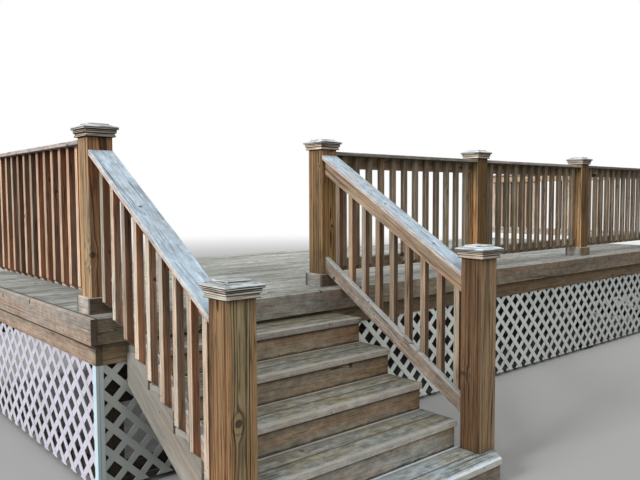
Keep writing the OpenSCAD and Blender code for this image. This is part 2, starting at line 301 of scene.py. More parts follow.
def wood(name, face, side=None, top=None, warm=0.5, figure=0.5, streaks=0.5, hairs=0.6, dashes=0.5,
         patches=0.5, knots=0.45, eyes=0.12, checks=0.5, fibres=1.0, mottles=0.0, ribs=0.0, uneven=0.18,
         ring=RING, late=LATE, knot_at=None, arris=0.25, adjust=None):
    """Weathered softwood, cut from a log: rings round the pith, knots that grow out of it, drying checks.
    face is the colour painted for the faces in shade, side a lighter colour painted on those that look left,
    as painted afternoon sun, and top the colour of those that look up, weathered grey and partly painted sky
    light.
    The patterns multiply it, each by its own strength. knot_at gives one knot its place along the board, its
    turn round the pith and its girth, and adjust may change the finished colour."""
    f = Finish(name)
    grain = f.attribute("grain")
    x, y, z = f.split(grain)
    tone, shade, end = f.split(f.attribute("board"))
    radius = f.length(y, z)
    turn = f.math("ARCTAN2", y, f.size(z))
    nx, _, up = f.split(f.put("NewGeometry", {}).outputs["Normal"])
    upward = f.ramp(up, 0.35, 0.8)
    leftward = f.ramp(f.times(nx, -1), 0.4, 0.85)

    # Knots, each a cone out of the pith, at a place of its own along the board and round the pith
    wobble = f.times(f.minus(f.noise(f.stretch(grain, WOBBLE)), 0.5), 0.006)
    if knot_at is None:
        cells = f.put("TexVoronoi", {
            "Vector": f.join(f.over(x, KNOT_ALONG), f.over(turn, KNOT_TURN)),
            "Scale": 1.0, "Randomness": 0.7,
        }, voronoi_dimensions="2D")
        knot_x, knot_turn, _ = f.split(cells.outputs["Position"])
        knot_x, knot_turn = f.times(knot_x, KNOT_ALONG), f.times(knot_turn, KNOT_TURN)
        chance, size, _ = f.split(cells.outputs["Color"])
        there = f.math("LESS_THAN", chance, knots)
        girth = f.ramp(size, 0, 1, 0.3 * KNOT_REACH, KNOT_REACH)
    else:
        knot_x, knot_turn, girth = knot_at
        there = 1.0
    dx = f.minus(x, knot_x)
    dt = f.times(radius, f.minus(turn, knot_turn))
    far = f.plus(f.length(dx, dt), wobble)
    flow = f.length(f.times(dx, 0.5), dt)
    near = f.over(far, girth)
    knot = f.times(there, f.ramp(near, 0.8, 1.0, 1.0, 0.0))
    halo = f.times(there, f.ramp(f.over(flow, girth), 0.4, 3.6, 1.0, 0.0))
    rim = f.times(there, f.ramp(near, 0.7, 0.95), f.ramp(near, 0.95, 1.2, 1.0, 0.0))

    # A darker ring of wood round a knot, a little longer than the knot itself
    outline = f.over(f.plus(f.length(f.times(dx, 0.7), dt), f.times(wobble, 2.0)), girth)
    eye = f.times(there, f.ramp(outline, 1.7, 2.0), f.ramp(outline, 2.05, 2.4, 1.0, 0.0))

    # The grain gives way to both sides of a knot
    beside = f.over(dt, f.plus(f.size(dt), 0.010))
    y = f.minus(y, f.times(halo, beside, girth, 1.3))
    grain = f.join(x, y, z)
    radius = f.length(y, z)

    # Rings, bent by the tree's own waves, some of them darker than others
    wave = f.minus(f.noise(f.stretch(grain, WAVE), 2.0), 0.5)
    ripple = f.minus(f.noise(f.stretch(grain, RIPPLE), 2.0), 0.5)
    bent = f.plus(radius, f.times(wave, 0.05))
    bent = f.plus(bent, f.times(ripple, 0.004))
    bent = f.plus(bent, f.times(halo, 0.003))
    rings = f.over(bent, ring)
    share = f.math("FRACT", rings)
    dark = f.put("TexWhiteNoise", {"W": f.plus(f.math("FLOOR", rings), f.times(tone, 40))},
                 noise_dimensions="1D").outputs["Value"]
    band = f.times(f.ramp(share, 0.45, 0.84), f.ramp(share, 0.9, 1.0, 1.0, 0.0),
                   f.ramp(dark, 0, 1, 0.15, 1.0))
    knot_ring = f.math("PINGPONG", f.over(far, KNOT_RING), 1.0)
    growth = f.noise(f.join(f.times(x, 0.8), f.over(bent, 0.02), f.times(tone, 9)), 3.0, 0.6)

    # Fibres, hairlines, dashes, streaks, stains, mottles, weathered ribs, and the cracks of drying
    fibre = f.noise(f.stretch(grain, FIBRE), 3.0, 0.65)
    hair = f.math("FRACT", f.times(f.noise(f.stretch(grain, HAIR), 2.0, 0.6), 9))
    hair = f.ramp(f.size(f.minus(hair, 0.5)), 0.04, 0.2, 1.0, 0.0)
    hair = f.times(hair, f.ramp(f.noise(f.stretch(grain, HAIR_PLACE), 2.0), 0.38, 0.58))
    dash = f.ramp(f.noise(f.stretch(grain, DASH), 2.0, 0.55), 0.54, 0.64)
    streak = f.noise(f.stretch(grain, STREAK), 3.0, 0.6)
    stain = f.noise(f.stretch(grain, STAIN), 4.0, 0.6)
    mottle = f.noise(f.stretch(grain, MOTTLE), 5.0, 0.68)
    rib = f.ramp(f.noise(f.stretch(grain, RIB), 1.0), 0.53, 0.58)
    crack_place = f.ramp(f.noise(f.stretch(grain, CRACK_PLACE), 1.0), 0.7 - 0.2 * checks, 0.74 - 0.1 * checks)
    crack = f.times(f.line(f.noise(f.stretch(grain, CRACK), 1.0), 0.022), crack_place)

    # The colour of the face, its hue changed by growth and weather, then lightened and darkened by every
    # pattern
    # Painted sunlight on faces that look left, and on faces that look up a weathered grey with painted sky
    # light
    base = face if side is None else f.mix(leftward, face, side)
    if top is not None:
        base = f.mix(upward, base, top)
    flat = f.ramp(upward, 0, 1, 1.0, 0.55)
    hue = f.mix(f.ramp(growth, 0.40, 0.62), OLIVE, ORANGE)
    base = f.mix(f.times(flat, warm), base, f.tint(base, hue))
    base = f.mix(f.times(band, flat, figure), base, f.tint(base, late))
    base = f.mix(f.times(f.ramp(stain, 0.42, 0.66), patches), base, f.tint(base, ASHEN))
    light = f.times(
        f.ramp(stain, 0.3, 0.7, 1 - 0.3 * patches, 1 + 0.34 * patches),
        f.ramp(streak, 0.3, 0.72, 1 + 0.3 * streaks, 1 - 0.42 * streaks),
        f.ramp(fibre, 0.3, 0.7, 1 - 0.22 * fibres, 1 + 0.22 * fibres),
        f.ramp(mottle, 0.34, 0.66, 1 - 0.45 * mottles, 1 + 0.42 * mottles),
        f.ramp(f.times(rib, leftward, ribs), 0, 1, 1 + 0.15 * ribs, 0.52),
        f.ramp(f.times(hair, hairs), 0, 1, 1.06, 0.3),
        f.ramp(f.times(dash, dashes), 0, 1, 1.04, 0.5),
        f.ramp(shade, 0, 1, 1 - uneven, 1 + uneven),
    )
    base = f.shade(base, light)
    base = f.mix(f.times(halo, 0.3), base, f.shade(base, 1.3))
    base = f.mix(f.times(eye, eyes), base, f.shade(base, 0.3))
    base = f.mix(f.times(knot, 0.85), base, f.mix(knot_ring, KNOT_PALE, KNOT_DARK))
    base = f.mix(f.times(rim, 0.7), base, BLACK_BROWN)
    base = f.mix(f.times(crack, 0.9), base, BLACK_BROWN)
    base = f.mix(f.times(end, 0.55), base, END_GRAIN)

    # Arrises worn pale and painted with a highlight, darker ends, and painted shade on undersides
    half_x, half_y, half_z = f.split(f.attribute("half"))
    in_x, in_y, in_z = f.split(f.attribute("within"))
    from_end = f.minus(half_x, f.size(in_x))
    from_y = f.minus(half_y, f.size(in_y))
    from_z = f.minus(half_z, f.size(in_z))
    # Edges worn pale, partly a painted highlight
    worn_and_highlit_edge = f.times(f.ramp(f.plus(from_y, from_z), 0.002, 0.009, 1.0, 0.0), arris)
    base = f.mix(worn_and_highlit_edge, base, f.mix(0.5, f.shade(base, 1.7), WORN_AND_HIGHLIT_EDGE))
    base = f.shade(base, f.ramp(from_end, 0.0, 0.06, 0.82, 1.0))
    # Painted shade on faces that look down
    base = f.shade(base, f.ramp(up, -0.8, -0.3, 0.6, 1.0))
    if adjust is not None:
        base = adjust(f, base, upward)
    f.feed(f.shader.inputs["Base Color"], base)
    f.feed(f.shader.inputs["Roughness"], f.ramp(fibre, 0.2, 0.8, 0.72, 0.9))
    f.shader.inputs["Specular IOR Level"].default_value = 0.3
    relief = f.plus(f.times(band, 0.4), f.times(fibre, 0.4))
    relief = f.minus(relief, f.plus(f.times(crack, 1.6), f.times(dash, 0.5)))
    bump = f.put("Bump", {"Strength": 0.6, "Distance": 0.0012, "Height": relief})
    f.feed(f.shader.inputs["Normal"], bump.outputs[0])
    return f.material


# The framing is painted nearly black, as painted shade under the deck
framing_wood = wood("framing_wood", (0.04, 0.03, 0.021, 1), figure=0.6)
for node in ("support_posts", "beams", "joists"):
    timber(node, "framing", framing_wood)

# Rims, softwood planks on edge round the joists, nailed into their ends. They show under the fascia boards,
# warmer than those, and the lattice hangs below them.
FASCIA_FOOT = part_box("fascia_sides")[0][2]
INNER_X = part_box("deck_boards")[1][0]
INNER_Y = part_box("fascia_front")[1][1]
CORNER_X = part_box("fascia_front")[0][0]
STEP_LEFT, STEP_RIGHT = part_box("stringer_left")[0][0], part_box("stringer_right")[1][0]

# How much lower the painted shadow under the fascia reaches on the sides than on the front
DEEPER_PAINTED_SHADOW = 0.019


def painted_fascia_shadow(f, base, upward):
    """Painted shadow under the fascia boards, deeper on the sides, and the colour lighter at the left corner
    and darker to the right."""
    x, _, z = f.split(f.place())
    below = f.minus(FASCIA_FOOT, z)
    on_side = f.ramp(f.minus(f.size(x), -CORNER_X), -0.004, 0.0)
    below = f.minus(below, f.times(on_side, DEEPER_PAINTED_SHADOW))
    base = f.shade(base, f.ramp(x, CORNER_X, STEP_RIGHT + 1.0, 1.18, 0.84))
    # Painted shadow under the fascia, nearly black
    return f.mix(f.ramp(below, 0.007, 0.014, 0.85, 0), base, BLACK_BROWN)


rim_wood = wood("rim_wood", (0.20, 0.15, 0.094, 1), side=(0.29, 0.235, 0.19, 1), top=(0.3, 0.27, 0.22, 1),
                warm=0.35, figure=0.6, streaks=0.2, hairs=0.6, patches=0.3, checks=0.9, fibres=0.7,
                mottles=0.3, adjust=painted_fascia_shadow)
for node in ("rims_long", "rims_side"):
    timber(node, "rim", rim_wood)

# Deck boards, 140 mm wide and laid along the front with open joints, screwed to every joist.
# They have weathered to a pale green grey.
deck_wood = wood("deck_wood", (0.22, 0.19, 0.14, 1), top=(0.405, 0.415, 0.385, 1), warm=0.2, figure=0.3,
                 streaks=0.2, hairs=0.6, dashes=0.9, patches=0.7, knots=0.3, checks=0.9, mottles=0.4,
                 arris=0.3)
timber("deck_boards", "deck_board", deck_wood)

# Fascia boards round the edge of the platform, their tops level with the boards. The side ones run past the
# front one, so that their end grain shows at the corner, and the front one is worn grey where people step
# off.


def shaded_joint_line(f, base, upward):
    """A dark line of painted shade on top, where a fascia board meets the ends of the deck boards."""
    x = f.split(f.place())[0]
    inside = f.minus(INNER_X, f.size(x))
    # Painted shade in the joint
    return f.mix(f.times(f.ramp(f.size(inside), 0.010, 0.020, 1, 0), upward), base, BLACK_BROWN)


def scuffed(f, base, upward):
    """Grey on its face where feet pass over the front board and greenish to the right of that, with a dark
    line of painted shade on top where it meets the first deck board."""
    x, y, _ = f.split(f.place())
    face_only = f.minus(1.0, upward)
    passed = f.times(f.ramp(x, STEP_LEFT - 0.1, STEP_LEFT + 0.15),
                     f.ramp(x, STEP_RIGHT - 0.3, STEP_RIGHT + 0.1, 1, 0), face_only)
    base = f.mix(f.times(passed, 0.75), base, f.tint(base, (1.35, 1.8, 2.3, 1)))
    greened = f.times(f.ramp(x, STEP_RIGHT + 0.1, STEP_RIGHT + 0.4),
                      f.ramp(x, STEP_RIGHT + 1.2, STEP_RIGHT + 2.4, 1, 0), face_only)
    base = f.mix(f.times(greened, 0.8), base, f.tint(base, (1.2, 1.42, 1.45, 1)))
    behind = f.minus(INNER_Y, y)
    seam_shadow_reach = f.ramp(x, CORNER_X + 0.4, CORNER_X + 1.2, 1.0, 0.35)
    seam = f.times(f.ramp(behind, 0.010, 0.020, 1, 0), upward, seam_shadow_reach)
    # Painted shade in the joint with the first deck board
    return f.mix(seam, base, BLACK_BROWN)


fascia_wood = wood("fascia_wood", (0.22, 0.165, 0.12, 1), side=(0.385, 0.33, 0.29, 1),
                   top=(0.44, 0.43, 0.40, 1), warm=0.45, figure=0.35, streaks=0.1, hairs=0.35, dashes=0.5,
                   patches=0.3, checks=1.0, fibres=0.5, mottles=0.4, arris=0.4, adjust=shaded_joint_line)
front_fascia_wood = wood("front_fascia_wood", (0.26, 0.205, 0.15, 1), top=(0.40, 0.40, 0.37, 1), warm=0.3,
                         figure=0.3, streaks=0.1, hairs=0.35, dashes=0.6, patches=0.6, checks=1.0, fibres=0.5,
                         mottles=0.5, arris=0.2, adjust=scuffed)
timber("fascia_front", "fascia", front_fascia_wood)
timber("fascia_sides", "fascia", fascia_wood)

# Stringers, cut from wide planks with a notch for every tread and nailed to the front rim, and the short
# boards on edge that carry the lowest tread under the newels. Dry and grey, with few marks.
stringer_wood = wood("stringer_wood", (0.22, 0.19, 0.15, 1), side=(0.36, 0.335, 0.30, 1),
                     top=(0.4, 0.38, 0.34, 1), warm=0.35, figure=0.15, streaks=0.2, hairs=0.3, dashes=0.25,
                     patches=0.6)
for node in ("stringer_left", "stringer_middle", "stringer_right", "step_sides"):
    timber(node, "stringer", stringer_wood)

# Risers, thin boards on edge, nailed to the stringers between the treads. Use and rain have left dirt along
# their feet, where shade is painted as well, shadow is painted under each nosing, and the lowest ones are the
# greyest.
# The dark of dirt specks and of the painted shadow under a nosing
DIRT_AND_PAINTED_SHADOW = (0.035, 0.028, 0.02, 1)
NOSE_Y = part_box("tread_1")[0][1]
RUN = NOSE_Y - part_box("tread_2")[0][1]
TREAD_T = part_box("tread_1")[1][2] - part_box("tread_1")[0][2]
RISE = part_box("tread_1")[1][2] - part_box("tread_2")[1][2]


def kicked(f, base, upward):
    """Dirt with painted shade along the bottom of a riser, painted shadow under the nosing, dirt specks, grey
    on the lowest where the rain splashes, darker up the flight and orange on the right."""
    place = f.place()
    x, _, z = f.split(place)
    over_tread = f.times(f.math("FRACT", f.over(z, RISE)), RISE)
    ragged = f.times(f.noise(f.stretch(place, (14, 14, 30)), 3.0, 0.6), 0.022)
    low = f.ramp(f.minus(over_tread, ragged), -0.008, 0.006, 1, 0)
    high = f.ramp(over_tread, RISE - TREAD_T - 0.022, RISE - TREAD_T - 0.004)
    speck = f.ramp(f.noise(f.stretch(place, (31, 31, 55)), 3.0, 0.7), 0.69, 0.73)
    warm_end = f.ramp(x, STEP_RIGHT - 0.35, STEP_RIGHT)
    base = f.mix(f.times(warm_end, 0.8), base, f.tint(base, (0.95, 0.78, 0.6, 1)))
    base = f.shade(base, f.ramp(z, 2 * RISE, 5 * RISE, 1.2, 0.86))
    splashed = f.ramp(z, 1.0 * RISE, 2.6 * RISE, 1, 0)
    base = f.mix(splashed, base, f.tint(base, (0.84, 1.04, 1.35, 1)))
    base = f.mix(f.times(speck, 0.8), base, DIRT_AND_PAINTED_SHADOW)
    # Dirt and painted shade along the foot of the riser
    base = f.mix(f.times(low, 0.85), base, (0.05, 0.038, 0.027, 1))
    # Painted shadow under the nosing
    return f.mix(f.times(high, 0.7), base, DIRT_AND_PAINTED_SHADOW)


riser_wood = wood("riser_wood", (0.33, 0.27, 0.20, 1), top=(0.4, 0.38, 0.34, 1), warm=0.4, figure=0.3,
                  streaks=0.1, hairs=0.25, dashes=0.6, patches=0.4, knots=0.3, fibres=0.5, mottles=0.5,
                  adjust=kicked)
timber("risers", "riser", riser_wood)

# Treads, two softwood boards each with a thin gap between them, screwed down on the stringers. The nosing
# is worn pale, and the lowest one is the cleanest and painted lighter and bluer as painted sky light.

# How far the gap between the boards lies behind the nosing, and the colour of the front edge
GAP_AT = (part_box("tread_1")[1][1] - NOSE_Y) / 2
TREAD_FRONT = (0.52, 0.485, 0.435, 1)


def trodden(f, base, upward):
    """Rubbed pale along the nosing, brown with dirt towards the riser and along the gap, blotched in
    between. Plain on its front, darker there on the topmost tread, and rain-washed grey on the lowest, which
    is also painted lighter and bluer as painted sky light."""
    place = f.place()
    _, y, z = f.split(place)
    behind = f.times(f.math("FRACT", f.over(f.minus(y, NOSE_Y - 0.001), RUN)), RUN)
    ragged = f.times(f.minus(f.noise(f.stretch(place, (16, 30, 16)), 4.0, 0.65), 0.5), 0.06)
    worn = f.times(f.ramp(f.plus(behind, ragged), 0.012, 0.05, 1, 0), upward)
    back = f.times(f.ramp(f.plus(behind, ragged), RUN - 0.075, RUN - 0.02), upward)
    seam = f.ramp(f.size(f.minus(behind, GAP_AT)), 0.005, 0.011, 1, 0)
    brown = f.ramp(f.noise(f.stretch(place, (4, 8, 4)), 3.0, 0.6), 0.46, 0.6)
    speck = f.ramp(f.noise(f.stretch(place, (45, 75, 45)), 2.0, 0.6), 0.69, 0.74)
    topmost = f.times(f.ramp(z, 4.3 * RISE, 4.8 * RISE), f.minus(1.0, upward))
    plain = f.times(f.minus(1.0, upward), 0.55)
    base = f.mix(plain, base, TREAD_FRONT)
    base = f.shade(base, f.ramp(topmost, 0, 1, 1.0, 0.62))
    base = f.mix(f.times(brown, upward, 0.8), base, f.tint(base, (1.0, 0.88, 0.68, 1)))
    base = f.mix(f.times(worn, 0.65), base, (0.46, 0.44, 0.39, 1))
    base = f.mix(f.times(back, 0.5), base, (0.13, 0.10, 0.065, 1))
    base = f.mix(f.times(seam, 0.8), base, (0.06, 0.048, 0.035, 1))
    base = f.mix(f.times(speck, 0.8), base, (0.035, 0.03, 0.024, 1))
    splashed = f.ramp(z, 0.9 * RISE, 2.4 * RISE, 1, 0)
    # Painted sky light and rain-washed grey on the lowest treads
    rinsed_and_sky_lit = f.mix(upward, (1.22, 1.3, 1.32, 1), (1.9, 2.2, 2.75, 1))
    return f.mix(splashed, base, f.tint(base, rinsed_and_sky_lit))


tread_wood = wood("tread_wood", TREAD_FRONT, top=(0.205, 0.21, 0.182, 1), warm=0.2, figure=0.2,
                  streaks=0.05, hairs=0.3, dashes=0.9, patches=0.2, knots=0.3, checks=1.0, fibres=0.6,
                  mottles=0.75, arris=0.3, adjust=trodden)
for number in range(1, 6):
    timber(f"tread_{number}", "tread", tread_wood, ease=0.006, rounds=3)

# Newels and posts, square softwood with long drying checks down their faces, standing on the deck or on the
# lowest tread. Each has its own colour, with painted light and shade on its left side and its front, the
# lower right newel painted in shadow on its left side, and the lower left newel has a large knot in its
# front.
post_cut = dict(pith=(0.01, 0.04, 0.03), ease=0.005, rounds=3)
post_look = dict(ring=0.0095, warm=0.6, figure=1.0, streaks=0.45, hairs=0.7, dashes=0.6, patches=0.3,
                 checks=1.3, ribs=1.0, late=(0.16, 0.10, 0.06, 1), arris=0.15)
plainer_look = dict(post_look, warm=0.2, figure=0.6, hairs=0.6, patches=0.15)
knotted_look = dict(post_look, ring=0.0062, streaks=0.1, hairs=0.9, figure=1.3, eyes=0.6)
for node, look, face, side in (
    ("newel_top_left", post_look, (0.23, 0.135, 0.075, 1), (0.40, 0.277, 0.168, 1)),
    ("newel_top_right", post_look, (0.30, 0.195, 0.088, 1), (0.235, 0.155, 0.083, 1)),
    ("newel_low_right", plainer_look, (0.272, 0.185, 0.105, 1), (0.146, 0.082, 0.042, 1)),
    ("rail_posts", post_look, (0.172, 0.10, 0.037, 1), (0.70, 0.46, 0.245, 1)),
    ("wall_posts", post_look, (0.24, 0.16, 0.09, 1), (0.3, 0.2, 0.12, 1)),
):
    timber(node, "post", wood(node + "_timber", face, side=side, **look), **post_cut)

# Where the middle of the knotted newel lies in its log, along it and across it from the pith, and then its
# knot
KNOTTED_HEART = (20.0, 0.005, 0.0028)
KNOT = (KNOTTED_HEART[0] + 0.022, -0.271, 0.016)
knotted_wood = wood("knotted_timber", (0.262, 0.188, 0.104, 1), side=(0.225, 0.127, 0.062, 1), knot_at=KNOT,
                    **knotted_look)
timber("newel_low_left", "post", knotted_wood, heart=KNOTTED_HEART, **post_cut)

# Collars of four short boards, nailed round the foot of each post on the deck. Two of them lie between the
# other two, and each board has its own grain.
collar_wood = wood("collar_wood", (0.15, 0.11, 0.075, 1), side=(0.41, 0.39, 0.37, 1),
                   top=(0.5, 0.48, 0.44, 1), warm=0.3, figure=0.2, streaks=0.2, hairs=0.3, patches=0.4,
                   knots=0.0, mottles=0.4, arris=0.5)
POST_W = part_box("newel_top_left")[1][0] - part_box("newel_top_left")[0][0]


def boxes(node):
    """The lowest and highest corner of each board of a node."""
    bm = from_node(node, 0.0)
    found = []
    for board in islands(bm):
        corners = [vert.co for face in board for vert in face.verts]
        found.append((Vector([min(co[i] for co in corners) for i in range(3)]),
                      Vector([max(co[i] for co in corners) for i in range(3)])))
    bm.free()
    return found


collar_boards = bmesh.new()
for low, high in boxes("post_collars"):
    wide, tall = high.x - low.x, high.z - low.z
    thick = (wide - POST_W) / 2
    for across, at in ((False, low.y), (False, high.y - thick), (True, low.x), (True, high.x - thick)):
        size = Vector((thick, POST_W, tall)) if across else Vector((wide, thick, tall))
        corner = Vector((at, low.y + thick, low.z)) if across else Vector((low.x, at, low.z))
        place = Matrix.Translation(corner + size / 2) @ Matrix.Diagonal((*size, 1))
        bmesh.ops.create_cube(collar_boards, matrix=place)
bmesh.ops.bevel(collar_boards, geom=collar_boards.edges[:], offset=0.0025, offset_type="OFFSET", segments=2,
                profile=0.5, affect="EDGES", material=-1)
write_grain(collar_boards, "post_collars", (0.03, 0.1, 0.05))
add_piece(collar_boards, "post_collars_wood", ["post_collars"], collar_wood)

# Post caps, mitred from moulded strips round a raised block: a fillet, a hollow, two beads and a rounded
# plate with a groove, bleached and with painted sky light on top, a little browner below, partly as painted
# shade. CAP_PROFILE gives how far the moulding stands out from the post and how high, from the bottom up.
CAP_PROFILE = (
    (0.0135, 0.0), (0.0135, 0.0095), (0.0105, 0.0115), (0.0090, 0.0150), (0.0105, 0.0185),
    (0.0170, 0.0205), (0.0175, 0.0285), (0.0155, 0.0290), (0.0155, 0.0300), (0.0180, 0.0305),
    (0.0180, 0.0372), (0.0150, 0.0378), (0.0150, 0.0390), (0.0245, 0.0395), (0.0265, 0.0410),
    (0.0270, 0.0460), (0.0250, 0.0465), (0.0250, 0.0475), (0.0270, 0.0480), (0.0268, 0.0530),
    (0.0245, 0.0550),
)
PLATE_OUT = max(out for out, up in CAP_PROFILE)

# Half width, rise and easing of the block, and how much further on in the log the strips along y begin
BLOCK_HALF = 0.6 * (POST_W / 2 + PLATE_OUT)
BLOCK_RISE, BLOCK_EASE = 0.006, 0.001
FURTHER_ON = 1.0


def mitred(bm, name):
    """Writes the grain of strips that meet in mitres: along each side of a cap, and along x over its top.
    The sides that run along y come from further on in the log."""
    grain = bm.loops.layers.float_vector.new("grain")
    within = bm.loops.layers.float_vector.new("within")
    board_look = bm.faces.layers.float_vector.new("board")
    board_half = bm.faces.layers.float_vector.new("half")
    for count, cap in enumerate(islands(bm)):
        chance = random.Random(f"{name}{count}")
        corners = [vert.co for face in cap for vert in face.verts]
        middle = sum(corners, Vector()) / len(corners)
        foot = Vector((middle.x, middle.y, min(co.z for co in corners)))
        look = (chance.random(), chance.random())
        start = Vector((chance.uniform(5, 95), chance.uniform(-0.05, 0.05), 0.09))
        for face in cap:
            face[board_look] = (*look, 0.0)
            face[board_half] = (1, 1, 1)
            turned = abs(face.normal.x) > abs(face.normal.y)
            for loop in face.loops:
                place = loop.vert.co - foot
                if turned:
                    place = Vector((place.y + FURTHER_ON, -place.x, place.z))
                loop[within] = place
                loop[grain] = place + start


caps = bmesh.new()
for low, high in boxes("post_caps"):
    foot = Vector(((low.x + high.x) / 2, (low.y + high.y) / 2, low.z))
    tall = high.z - low.z
    start = bmesh.ops.create_grid(caps, x_segments=1, y_segments=1, size=POST_W / 2 + CAP_PROFILE[0][0],
                                  matrix=Matrix.Translation(foot))
    shell = list({face for vert in start["verts"] for face in vert.link_faces})
    bmesh.ops.reverse_faces(caps, faces=shell)
    loop_edges = shell[0].edges[:]
    steps = [(POST_W / 2 + out, up) for out, up in CAP_PROFILE[1:]]
    steps += [(BLOCK_HALF, tall - BLOCK_RISE), (BLOCK_HALF, tall - BLOCK_EASE),
              (BLOCK_HALF - BLOCK_EASE, tall)]
    for half, up in steps:
        grown = bmesh.ops.extrude_edge_only(caps, edges=loop_edges)["geom"]
        loop_edges = [item for item in grown if isinstance(item, bmesh.types.BMEdge)]
        for vert in {vert for edge in loop_edges for vert in edge.verts}:
            out = Vector((math.copysign(half, vert.co.x - foot.x), math.copysign(half, vert.co.y - foot.y),
                          up))
            vert.co = foot + out
    bmesh.ops.contextual_create(caps, geom=loop_edges)
bmesh.ops.recalc_face_normals(caps, faces=caps.faces[:])
mitred(caps, "post_caps")

# A place just past the lower left newel, whose cap is paler below and greyer above, and the height and half
# width of each groove, painted dark as its shade
PALE_CAP = Vector(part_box("newel_low_left")[1]) + Vector((0.05, 0.05, 0))
GROOVES = ((0.0, 0.003), (0.0190, 0.003), (0.0295, 0.0026), (0.0385, 0.004), (0.0470, 0.0026))


def bleached(f, base, upward):
    """The plate and the block are bleached and carry painted sky light, less so on the lower left newel, the
    moulding under them is browner on all the others, partly as painted shade, the grooves are painted dark as
    their shade, and dirt lies in the cracks on top."""
    z = f.split(f.attribute("within"))[2]
    x, y, _ = f.split(f.place())
    pale = f.times(f.ramp(x, PALE_CAP.x, PALE_CAP.x + 0.1, 1, 0),
                   f.ramp(y, PALE_CAP.y, PALE_CAP.y + 0.1, 1, 0))
    # The moulding browner on all but the lower left newel, partly as painted shade
    moulding = f.mix(pale, (0.95, 0.80, 0.66, 1), (1.05, 0.97, 0.88, 1))
    base = f.mix(f.ramp(z, 0.034, 0.040, 1.0, 0.0), base, f.tint(base, moulding))
    # Tops bleached and with painted sky light, darker on the lower left newel
    bleach_and_sky_light = f.mix(pale, (1.27, 1.32, 1.34, 1), (0.76, 0.77, 0.76, 1))
    base = f.mix(upward, base, f.tint(base, bleach_and_sky_light))
    # Each groove painted dark as its shade
    for groove, wide in GROOVES:
        groove_shade = f.ramp(f.size(f.minus(z, groove)), wide / 2, wide, 1, 0)
        base = f.mix(groove_shade, base, (0.02, 0.017, 0.014, 1))
    cracked = f.ramp(f.noise(f.stretch(f.attribute("grain"), (9, 110, 110)), 2.0, 0.6), 0.55, 0.62)
    return f.mix(f.times(cracked, f.ramp(z, 0.050, 0.054), 0.85), base, (0.03, 0.026, 0.022, 1))


cap_wood = wood("cap_wood", (0.60, 0.59, 0.56, 1), side=(0.78, 0.76, 0.72, 1), top=(0.66, 0.71, 0.74, 1),
                warm=0.2, figure=0.4, streaks=0.4, hairs=0.6, dashes=1.0, patches=0.5, knots=0.0,
                checks=1.2, arris=0.0, adjust=bleached)
add_piece(caps, "post_caps_wood", ["post_caps"], cap_wood)

# Handrails, boards laid flat on the rails under them and nailed down between the posts. Sun and rain have
# bleached them grey, and their tops are painted blue as painted sky light.


def silvered(f, base, upward):
    """Beige stains where the grey has worn off."""
    stain = f.noise(f.stretch(f.place(), (5, 5, 5)), 4.0, 0.65)
    stain = f.times(f.ramp(stain, 0.56, 0.66), upward, 0.7)
    return f.mix(stain, base, f.tint(base, (1.15, 0.94, 0.76, 1)))


handrail_wood = wood("handrail_wood", (0.34, 0.31, 0.27, 1), side=(0.52, 0.45, 0.42, 1),
                     top=(0.41, 0.495, 0.57, 1), warm=0.15, figure=0.2, streaks=0.0, hairs=0.1, dashes=1.0,
                     patches=0.3, eyes=0.0, checks=0.8, fibres=0.7, mottles=0.4, arris=0.2, adjust=silvered)
for node in ("handrail_left", "handrail_right", "level_handrails"):
    timber(node, "handrail", handrail_wood, ease=0.004, rounds=3)

# Rails, planks on edge between the posts, one under each handrail and one over the deck or the nosings. The
# balusters are nailed to them at head and foot.
rail_wood = wood("rail_wood", (0.26, 0.19, 0.12, 1), side=(0.49, 0.35, 0.245, 1), top=(0.46, 0.45, 0.42, 1),
                 warm=0.35, figure=0.3, streaks=0.3, hairs=0.7, dashes=0.6, patches=0.5, arris=0.2)
for node in ("stair_subrails", "level_subrails"):
    timber(node, "rail", rail_wood)


def nicked(f, base, upward):
    """The upper edge worn pale and painted with a highlight, and dark where it is nicked."""
    height = f.split(f.attribute("within"))[1]
    half_height = f.split(f.attribute("half"))[1]
    at_edge = f.ramp(f.minus(half_height, height), 0.003, 0.013, 1, 0)
    nick = f.ramp(f.noise(f.stretch(f.place(), (14, 14, 14)), 5.0, 0.75), 0.56, 0.62)
    base = f.mix(f.times(at_edge, f.minus(1.0, nick), 0.5), base, (0.58, 0.60, 0.59, 1))
    return f.mix(f.times(at_edge, nick, 0.75), base, (0.06, 0.05, 0.04, 1))


low_rail_wood = wood("low_rail_wood", (0.24, 0.19, 0.13, 1), side=(0.41, 0.35, 0.30, 1),
                     top=(0.48, 0.50, 0.50, 1), warm=0.3, figure=0.3, streaks=0.1, hairs=0.4, dashes=0.9,
                     patches=0.6, knots=0.7, fibres=0.7, mottles=0.5, arris=0.2, adjust=nicked)
for node in ("stair_low_rails", "level_low_rails"):
    timber(node, "rail", low_rail_wood)

